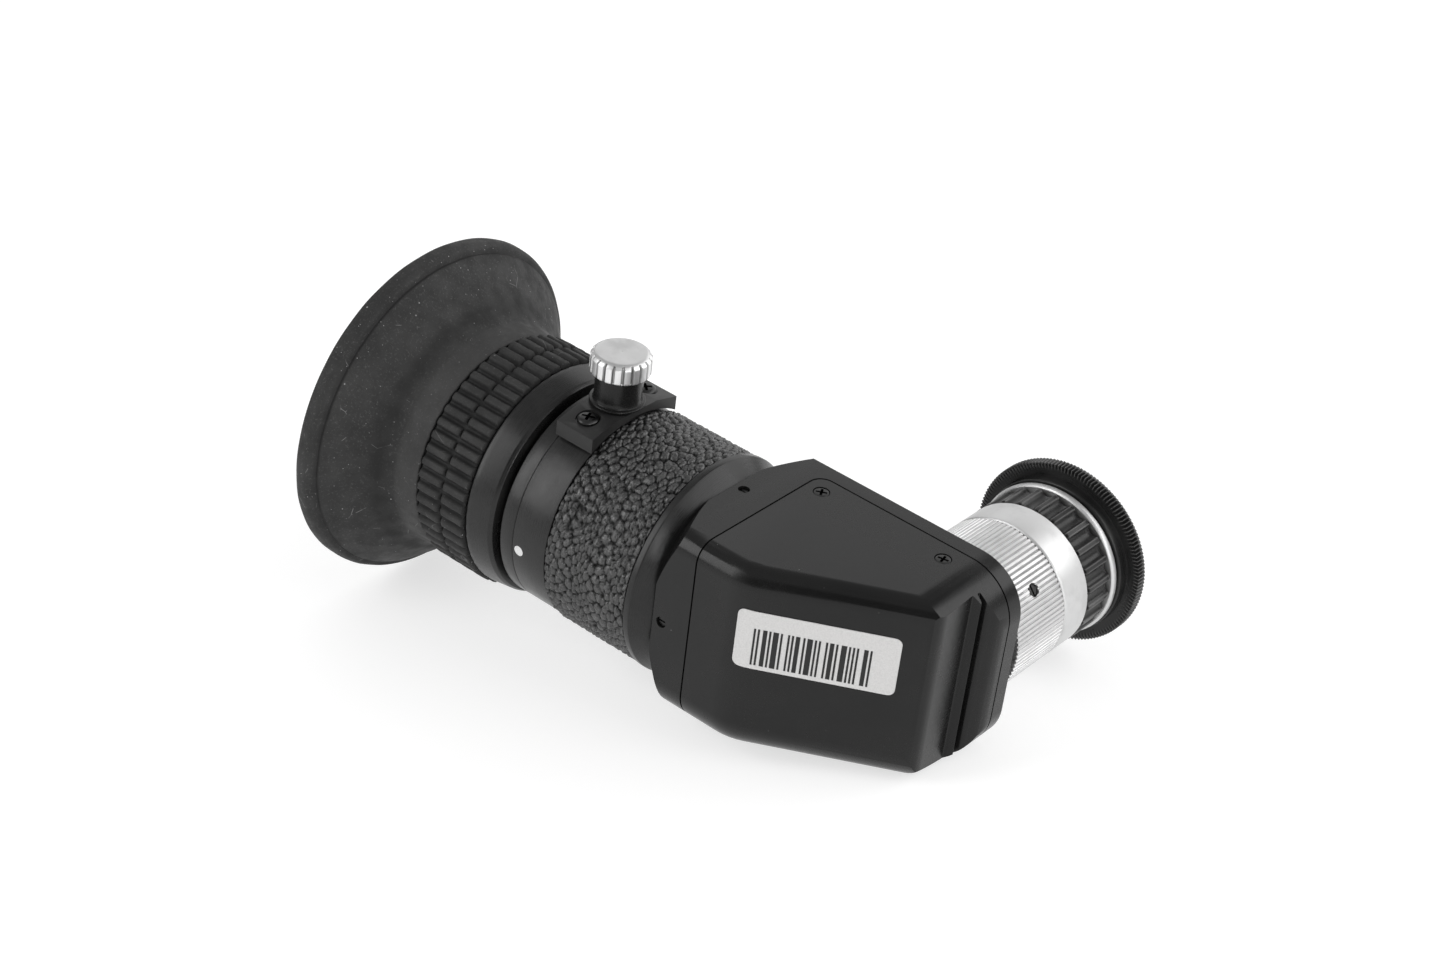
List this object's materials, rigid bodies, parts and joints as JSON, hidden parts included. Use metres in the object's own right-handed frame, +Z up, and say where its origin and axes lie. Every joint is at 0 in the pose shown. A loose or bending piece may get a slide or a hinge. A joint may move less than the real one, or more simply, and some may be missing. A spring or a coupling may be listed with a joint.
{
  "type": "right-angle viewfinder attachment",
  "caption": "Right-angle viewfinder attachment: eyecup and focusing barrel on a roof-prism housing, with a rotating screw-in adapter for a camera's eyepiece.",
  "frame": {"origin": "centre of the bounding box in X and Y, on the table the object lies on", "axes": "+Z up from the table; the eyepiece barrel points along -X and 7.37 degrees up, and the camera adapter along +Y"},
  "size_m": [0.1236, 0.0866, 0.0635],
  "materials": {
    "rubber": "matt black moulded rubber",
    "black_paint": "satin-gloss black enamel on cast aluminium alloy",
    "black_anodised": "satin black anodised, turned",
    "leather": "black pebble-grain leatherette",
    "silver": "satin clear anodised, turned",
    "steel": "blackened or plain turned steel",
    "brass": "turned brass",
    "glass": "clear coated optical glass",
    "nylon": "natural nylon",
    "paper": "white paper label with black bars"
  },
  "bodies": {
    "frame": {"index_sleeve": "black_anodised", "guide_screw": "steel", "barrel_tube": "black_anodised", "leather_wrap": "leather", "barrel_end_ring": "black_paint", "field_stop": "black_anodised", "relay_lens": "glass", "relay_retainer": "brass", "lock_bracket": "black_paint", "bracket_screw_near": "steel", "bracket_screw_far": "steel", "knob_column": "black_paint", "housing_base": "black_paint", "housing_cover": "black_paint", "cover_screw_top_crook": "steel", "cover_screw_top_end": "steel", "cover_screw_bottom_crook": "steel", "cover_screw_bottom_end": "steel", "barrel_set_screw_top": "steel", "barrel_set_screw_near": "steel", "barrel_set_screw_bottom": "steel", "roof_prism": "glass", "prism_seat": "black_anodised", "prism_spring": "steel", "paper_label": "paper", "camera_tube": "black_anodised", "knurled_collar": "silver", "detent_screw": "steel", "detent_spring": "steel", "detent_ball": "steel"},
    "eyepiece": {"eyepiece_tube": "black_anodised", "eye_lens": "glass", "eye_lens_retainer": "black_anodised", "lens_spacer": "black_anodised", "field_lens": "glass"},
    "focus": {"focusing_ring": "black_anodised", "rubber_grip": "rubber", "eyecup": "rubber"},
    "lock_lift": {"friction_pad": "nylon"},
    "lock": {"lock_knob": "silver", "lock_stem": "steel"},
    "adapter": {"adapter_sleeve": "silver", "rotation_nut": "brass", "silver_washer": "silver", "objective_lens": "glass", "objective_retainer": "brass"},
    "lock_ring": {"fluted_lock_ring": "black_anodised"},
    "mount": {"camera_flange": "black_anodised", "flange_circlip": "steel"}
  },
  "joints": [
    {"name": "eyepiece_travel", "type": "slide", "parent": "frame", "child": "eyepiece", "axis": [-0.9917, 0, 0.1283], "range_m": [-0.00084, 0.00184]},
    {"name": "focus_turn", "type": "hinge", "parent": "eyepiece", "child": "focus", "pos_m": [-0.04005, -0.01135, 0.02954], "axis": [-0.9917, 0, 0.1283], "range_deg": [-76, 166]},
    {"name": "lock_travel", "type": "slide", "parent": "frame", "child": "lock_lift", "axis": [0.1283, 0, 0.9917], "range_m": [0, 0.00025]},
    {"name": "lock_turn", "type": "hinge", "parent": "lock_lift", "child": "lock", "pos_m": [-0.01168, -0.01135, 0.05007], "axis": [0.1283, 0, 0.9917], "range_deg": [0, 181]},
    {"name": "adapter_turn", "type": "hinge", "parent": "frame", "child": "adapter", "pos_m": [0.04524, 0.023, 0.0185], "axis": [0, 1, 0], "continuous": true},
    {"name": "lock_ring_turn", "type": "hinge", "parent": "adapter", "child": "lock_ring", "pos_m": [0.04524, 0.03055, 0.0185], "axis": [0, 1, 0], "range_deg": [0, 90]},
    {"name": "mount_turn", "type": "hinge", "parent": "adapter", "child": "mount", "pos_m": [0.04524, 0.03875, 0.0185], "axis": [0, 1, 0], "continuous": true}
  ],
  "couplings": [
    {"joint": "focus_turn", "follows": "eyepiece_travel", "rad_per_m": 1570.8},
    {"joint": "lock_turn", "follows": "lock_travel", "rad_per_m": 12566}
  ]
}
